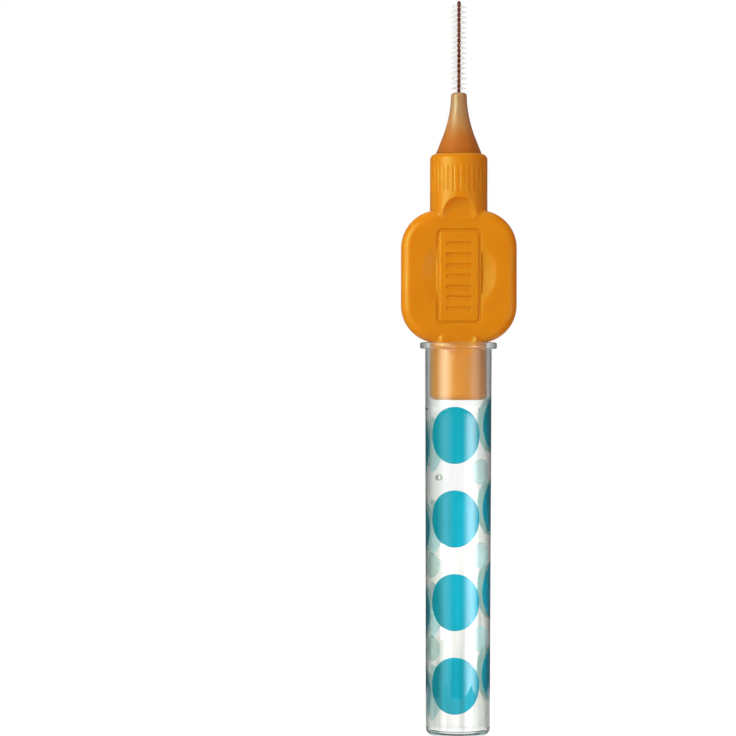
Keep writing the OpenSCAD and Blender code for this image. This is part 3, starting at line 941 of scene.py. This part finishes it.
def twistTree(material):
    tree, given = treeFor("twisted wire", {
        **twistInputs, "Radius": "NodeSocketFloat", "Sides": "NodeSocketInt",
    })
    position = addNode(tree, "GeometryNodeInputPosition")
    height = addNode(tree, "ShaderNodeSeparateXYZ", links={"Vector": position}).outputs["Z"]
    turn = addTurn(tree, given, height)
    turnedTo = addNode(tree, "ShaderNodeVectorRotate", {"rotation_type": "Z_AXIS"},
                       {"Vector": position, "Angle": turn})
    path = addNode(tree, "GeometryNodeSetPosition", links={
        "Geometry": given["Geometry"], "Position": turnedTo,
    })
    ring = addNode(tree, "GeometryNodeCurvePrimitiveCircle", links={
        "Resolution": given["Sides"], "Radius": given["Radius"],
    })
    tube = addNode(tree, "GeometryNodeCurveToMesh", {"Fill Caps": True},
                   {"Curve": path, "Profile Curve": ring})
    smooth = addNode(tree, "GeometryNodeSetShadeSmooth", links={0: tube})
    return endTree(tree, smooth, material)


# Steel wire with a bonded plastic coat: dark red-brown and softly glossy, like fine cable
def coatedWire():
    material, tree, output, place = startMaterial("plastic-coated steel wire")
    patches = addNode(tree, "ShaderNodeTexNoise", {"Scale": perMetre(0.5), "Detail": 2.0}, {"Vector": place})
    colour = addNode(tree, "ShaderNodeValToRGB", {"stops": [(0.3, "#6E1C0E"), (0.7, "#842C1E")]},
                     {"Fac": patches.outputs["Fac"]})
    coat = addNode(tree, "ShaderNodeBsdfPrincipled", {
        "Roughness": 0.3,
        "IOR": 1.5,
        "Specular IOR Level": 0.35,
    }, {"Base Color": colour})
    tree.links.new(coat.outputs["BSDF"], output.inputs["Surface"])
    return material


wireMaterial = coatedWire()
wireCore = runTree(foldedWire(), twistTree(wireMaterial), {
    **twistValues,
    "Radius": wire["radius"] * metre,
    "Sides": wire["sides"],
})
dress(wireCore, wireMaterial, "brush", ["wire"])
print("wire twisted:", len(wireCore.data.polygons), "faces")


# Bristles: straight nylon filaments held across the wire, which fan out as it turns

bristles = {
    "foot": 84.10,
    "top": 95.45,
    "count": 210,
    "radius": 1.07,
    "shortest": 0.95,  # share of the radius
    "thickness": 0.036,
    "sides": 5,
    "spread": 3,
    "tilt": 2.5,
    "seed": 11,
}


def bristleTree(material):
    number = "NodeSocketFloat"
    tree, given = treeFor("fanned bristles", {
        **twistInputs, "Count": "NodeSocketInt", "Start": number, "End": number, "Reach": number,
        "Thickness": number, "Sides": "NodeSocketInt", "Spread": number, "Tilt": number,
        "Seed": "NodeSocketInt",
    })
    index = addNode(tree, "GeometryNodeInputIndex")
    last = addNode(tree, "ShaderNodeMath", {"operation": "SUBTRACT", 1: 1.0}, {0: given["Count"]})
    step = addNode(tree, "ShaderNodeMath", {"operation": "DIVIDE"}, {0: index, 1: last})
    span = addNode(tree, "ShaderNodeMath", {"operation": "SUBTRACT"}, {0: given["End"], 1: given["Start"]})
    climb = addNode(tree, "ShaderNodeMath", {"operation": "MULTIPLY"}, {0: step, 1: span})
    height = addNode(tree, "ShaderNodeMath", {"operation": "ADD"}, {0: given["Start"], 1: climb})
    spot = addNode(tree, "ShaderNodeCombineXYZ", links={"Z": height})
    points = addNode(tree, "GeometryNodePoints", links={"Count": given["Count"], "Position": spot})

    back = addNode(tree, "ShaderNodeMath", {"operation": "MULTIPLY", 1: -1.0}, {0: given["Reach"]})
    low = addNode(tree, "ShaderNodeCombineXYZ", links={"X": back})
    high = addNode(tree, "ShaderNodeCombineXYZ", links={"X": given["Reach"]})
    line = addNode(tree, "GeometryNodeCurvePrimitiveLine", links={"Start": low, "End": high})
    radius = addNode(tree, "ShaderNodeMath", {"operation": "DIVIDE", 1: 2.0}, {0: given["Thickness"]})
    ring = addNode(tree, "GeometryNodeCurvePrimitiveCircle", links={
        "Resolution": given["Sides"], "Radius": radius,
    })
    hair = addNode(tree, "GeometryNodeCurveToMesh", {"Fill Caps": True},
                   {"Curve": line, "Profile Curve": ring})

    position = addNode(tree, "GeometryNodeInputPosition")
    level = addNode(tree, "ShaderNodeSeparateXYZ", links={"Vector": position}).outputs["Z"]
    draws = []
    for offset, reach in ((0, given["Spread"]), (1, given["Tilt"])):
        least = addNode(tree, "ShaderNodeMath", {"operation": "MULTIPLY", 1: -1.0}, {0: reach})
        seed = addNode(tree, "ShaderNodeMath", {"operation": "ADD", 1: float(offset)}, {0: given["Seed"]})
        draws.append(addNode(tree, "FunctionNodeRandomValue", {"data_type": "FLOAT"}, {
            "Min": least, "Max": reach, "Seed": seed,
        }).outputs[1])
    sizeSeed = addNode(tree, "ShaderNodeMath", {"operation": "ADD", 1: 2.0}, {0: given["Seed"]})
    size = addNode(tree, "FunctionNodeRandomValue",
                   {"data_type": "FLOAT", 2: bristles["shortest"], 3: 1.0}, {"Seed": sizeSeed}).outputs[1]
    across = addNode(tree, "ShaderNodeMath", {"operation": "ADD", 1: math.pi / 2}, {0: draws[0]})
    turn = addNode(tree, "ShaderNodeMath", {"operation": "ADD"}, {0: addTurn(tree, given, level), 1: across})
    turnedTo = addNode(tree, "ShaderNodeCombineXYZ", links={"Y": draws[1], "Z": turn})
    placed = addNode(tree, "GeometryNodeInstanceOnPoints", links={
        "Points": points,
        "Instance": hair,
        "Rotation": turnedTo,
        "Scale": size,
    })
    return endTree(tree, placed, material)


# Drawn nylon filament: clear and satin, so fine that a bundle looks pale grey
def nylonFilament():
    material, tree, output, place = startMaterial("clear drawn nylon filament")
    patches = addNode(tree, "ShaderNodeTexNoise", {"Scale": perMetre(0.4), "Detail": 1.0}, {"Vector": place})
    colour = addNode(tree, "ShaderNodeValToRGB", {"stops": [(0.3, "#E9E7E2"), (0.7, "#F6F5F2")]},
                     {"Fac": patches.outputs["Fac"]})
    nylon = addNode(tree, "ShaderNodeBsdfPrincipled", {
        "Roughness": 0.15,
        "IOR": 1.53,
        "Transmission Weight": 0.85,
    }, {"Base Color": colour})
    tree.links.new(nylon.outputs["BSDF"], output.inputs["Surface"])
    return material


nylonMaterial = nylonFilament()
empty = linked("bristles_nylon", bpy.data.meshes.new("bristles_nylon"))
bristleFan = runTree(empty, bristleTree(nylonMaterial), {
    **twistValues,
    "Count": bristles["count"],
    "Start": bristles["foot"] * metre,
    "End": bristles["top"] * metre,
    "Reach": bristles["radius"] * metre,
    "Thickness": bristles["thickness"] * metre,
    "Sides": bristles["sides"],
    "Spread": math.radians(bristles["spread"]),
    "Tilt": math.radians(bristles["tilt"]),
    "Seed": bristles["seed"],
})
dress(bristleFan, nylonMaterial, "brush", ["bristles"])
print("bristles set:", len(bristleFan.data.polygons), "faces")


# Studio: white behind and below, a large soft lamp high on the left, a weaker one behind for the views
# from there, and a small one close by on the right. Light strips in front and a dark wall all round but
# behind the brush are seen by reflections alone, so that the gloss shows and the edges draw dark.

studio = {
    "floorSize": 1600,
    "floorDrop": 0.02,
    "floorGlow": 0.965,
    "lamps": (  # the aim is a height on the axis; turn and spread are in degrees
        {"name": "key", "turn": -34, "away": 520, "height": 330, "aim": 55, "size": (520, 620),
         "power": 3.317, "colour": "#EDFFE0", "spread": 180, "hidden": ("glossy",)},
        {"name": "rear", "turn": 172, "away": 520, "height": 330, "aim": 55, "size": (520, 620),
         "power": 1.605, "colour": "#EDFFE0", "spread": 180,
         "hidden": ("glossy", "transmission", "camera")},
        {"name": "fill", "turn": 62, "away": 75, "height": 14, "aim": 17, "size": (40, 30),
         "power": 0.0056, "colour": "#FFFFFF", "spread": 38, "hidden": ("glossy", "camera")},
    ),
    "roomLight": 0.3808,
    "roomColour": "#FFCCB5",  # a little red, against the lamps' yellow-green
    "wallRadius": 790,
    "wallFrom": -900,
    "wallTo": 1500,
    "wallOpening": 14,
    "wallGlow": 0.12,
    "wallSteps": 48,
    "strips": (  # turn, half width in degrees, lowest and highest point, glow in the middle, colour
        (45, 34, -70, 34, 9.0, "#FFFFFF"),
        (60, 34, 36, 56, 2.3, "#FFFFFF"),
        (-50, 38, 36, 60, 7.4, "#F2FFF6"),
        (-48, 38, -70, 34, 1.6, "#FFFFFF"),
        (-50, 36, 60, 300, 11.0, "#EDFFCC"),
    ),
    "stripAway": 400,
    "stripSteps": 24,
    "shineHalf": 50,
    "shineDrop": 0.03,
    "shineGlow": 0.9,
}


def hideFrom(thing, *kinds):  # kinds of rays that don't see it
    for kind in kinds:
        setattr(thing, "visible_" + kind, False)


def square(half, height):  # its corners, level and centred on the axis
    return [(-half, -half, height), (half, -half, height), (half, half, height), (-half, half, height)]


def seenDirectly(tree):  # 1 for rays that show the background: straight, mirrored or through the clear cap
    path = addNode(tree, "ShaderNodeLightPath").outputs
    either = addNode(tree, "ShaderNodeMath", {"operation": "MAXIMUM"},
                     {0: path["Is Camera Ray"], 1: path["Is Glossy Ray"]})
    straight = addNode(tree, "ShaderNodeMath", {"operation": "MAXIMUM"},
                       {0: either, 1: path["Is Transmission Ray"]})
    early = addNode(tree, "ShaderNodeMath", {"operation": "LESS_THAN", 1: 0.5}, {0: path["Diffuse Depth"]})
    return addNode(tree, "ShaderNodeMath", {"operation": "MULTIPLY"}, {0: straight, 1: early})


def makeWorld():
    world = bpy.data.worlds.new("studio")
    bpy.context.scene.world = world
    world.use_nodes = True
    tree = world.node_tree
    tree.nodes.clear()
    lit = addNode(tree, "ShaderNodeBackground", {
        "Color": linearColour(studio["roomColour"]), "Strength": studio["roomLight"],
    })
    white = addNode(tree, "ShaderNodeBackground", {"Color": linearColour("#FFFFFF"), "Strength": 1.0})
    mix = addNode(tree, "ShaderNodeMixShader", links={0: seenDirectly(tree), 1: lit, 2: white})
    addNode(tree, "ShaderNodeOutputWorld", links={"Surface": mix})


def makeFloor():
    floor = meshFrom("floor", square(studio["floorSize"] / 2, -studio["floorDrop"]), [[0, 1, 2, 3]])
    material, tree, output, _ = startMaterial("white paper sweep")
    paper = addNode(tree, "ShaderNodeBsdfDiffuse", {"Color": linearColour("#E8E8E6")})
    dim = addNode(tree, "ShaderNodeBsdfDiffuse", {"Color": linearColour("#7C7C7C")})
    glow = addNode(tree, "ShaderNodeEmission", {"Strength": studio["floorGlow"]})
    shown = addNode(tree, "ShaderNodeAddShader", links={0: dim, 1: glow})
    mix = addNode(tree, "ShaderNodeMixShader", links={0: seenDirectly(tree), 1: paper, 2: shown})
    tree.links.new(mix.outputs[0], output.inputs["Surface"])
    floor.data.materials.append(material)
    hideFrom(floor, "glossy")


def makeLamp(name, turn, away, height, aim, size, power, colour, spread, hidden):
    lamp = bpy.data.lights.new(name, "AREA")
    lamp.shape = "RECTANGLE"
    lamp.size = size[0] * metre
    lamp.size_y = size[1] * metre
    lamp.energy = power
    lamp.color = linearColour(colour)[:3]
    lamp.spread = math.radians(spread)
    thing = linked(name, lamp)
    place = around(turn, away, height)
    thing.location = [v * metre for v in place]
    way = Vector((0, 0, aim)) - Vector(place)
    thing.rotation_euler = way.to_track_quat("-Z", "Y").to_euler()
    hideFrom(thing, *hidden)


def mirrorScreen(name, points, faces, glow, colour="#FFFFFF"):  # for reflections alone, a glow per point
    screen = meshFrom(name, points, faces)
    values = screen.data.attributes.new("glow", "FLOAT", "POINT").data
    values.foreach_set("value", np.asarray(glow, np.float32))
    hideFrom(screen, "camera", "diffuse", "transmission", "shadow")
    material, tree, output, _ = startMaterial(name + " light")
    level = addNode(tree, "ShaderNodeAttribute", {"attribute_name": "glow"})
    shine = addNode(tree, "ShaderNodeEmission", {"Color": linearColour(colour)},
                    {"Strength": level.outputs["Fac"]})
    tree.links.new(shine.outputs[0], output.inputs["Surface"])
    screen.data.materials.append(material)


def curvedScreen(name, radius, fromTurn, toTurn, low, high, glow, colour="#FFFFFF"):
    steps = len(glow) - 1
    turns = np.linspace(fromTurn, toTurn, steps + 1)
    points = [around(turn, radius, height) for height in (low, high) for turn in turns]
    faces = [[i, i + 1, steps + 2 + i, steps + 1 + i] for i in range(steps)]
    mirrorScreen(name, points, faces, np.tile(glow, 2), colour)


def darkWall():
    reach = 180 - studio["wallOpening"]
    glow = np.full(studio["wallSteps"] + 1, studio["wallGlow"])
    curvedScreen("wall", studio["wallRadius"], -reach, reach, studio["wallFrom"], studio["wallTo"], glow)


def lightStrips():  # each fades out towards its sides
    fade = np.cos(np.linspace(-math.pi / 2, math.pi / 2, studio["stripSteps"] + 1)) ** 2
    for number, (turn, half, low, high, glow, colour) in enumerate(studio["strips"]):
        curvedScreen("strip%d" % number, studio["stripAway"], turn - half, turn + half, low, high,
                     glow * fade, colour)


def floorShine():  # the paper round the foot, as the foot's rounded edge mirrors it
    corners = square(studio["shineHalf"], -studio["shineDrop"])
    mirrorScreen("shine", corners, [[0, 1, 2, 3]], [studio["shineGlow"]] * 4)


makeWorld()
makeFloor()
for lampValues in studio["lamps"]:
    makeLamp(**lampValues)
darkWall()
lightStrips()
floorShine()
print("studio lit")
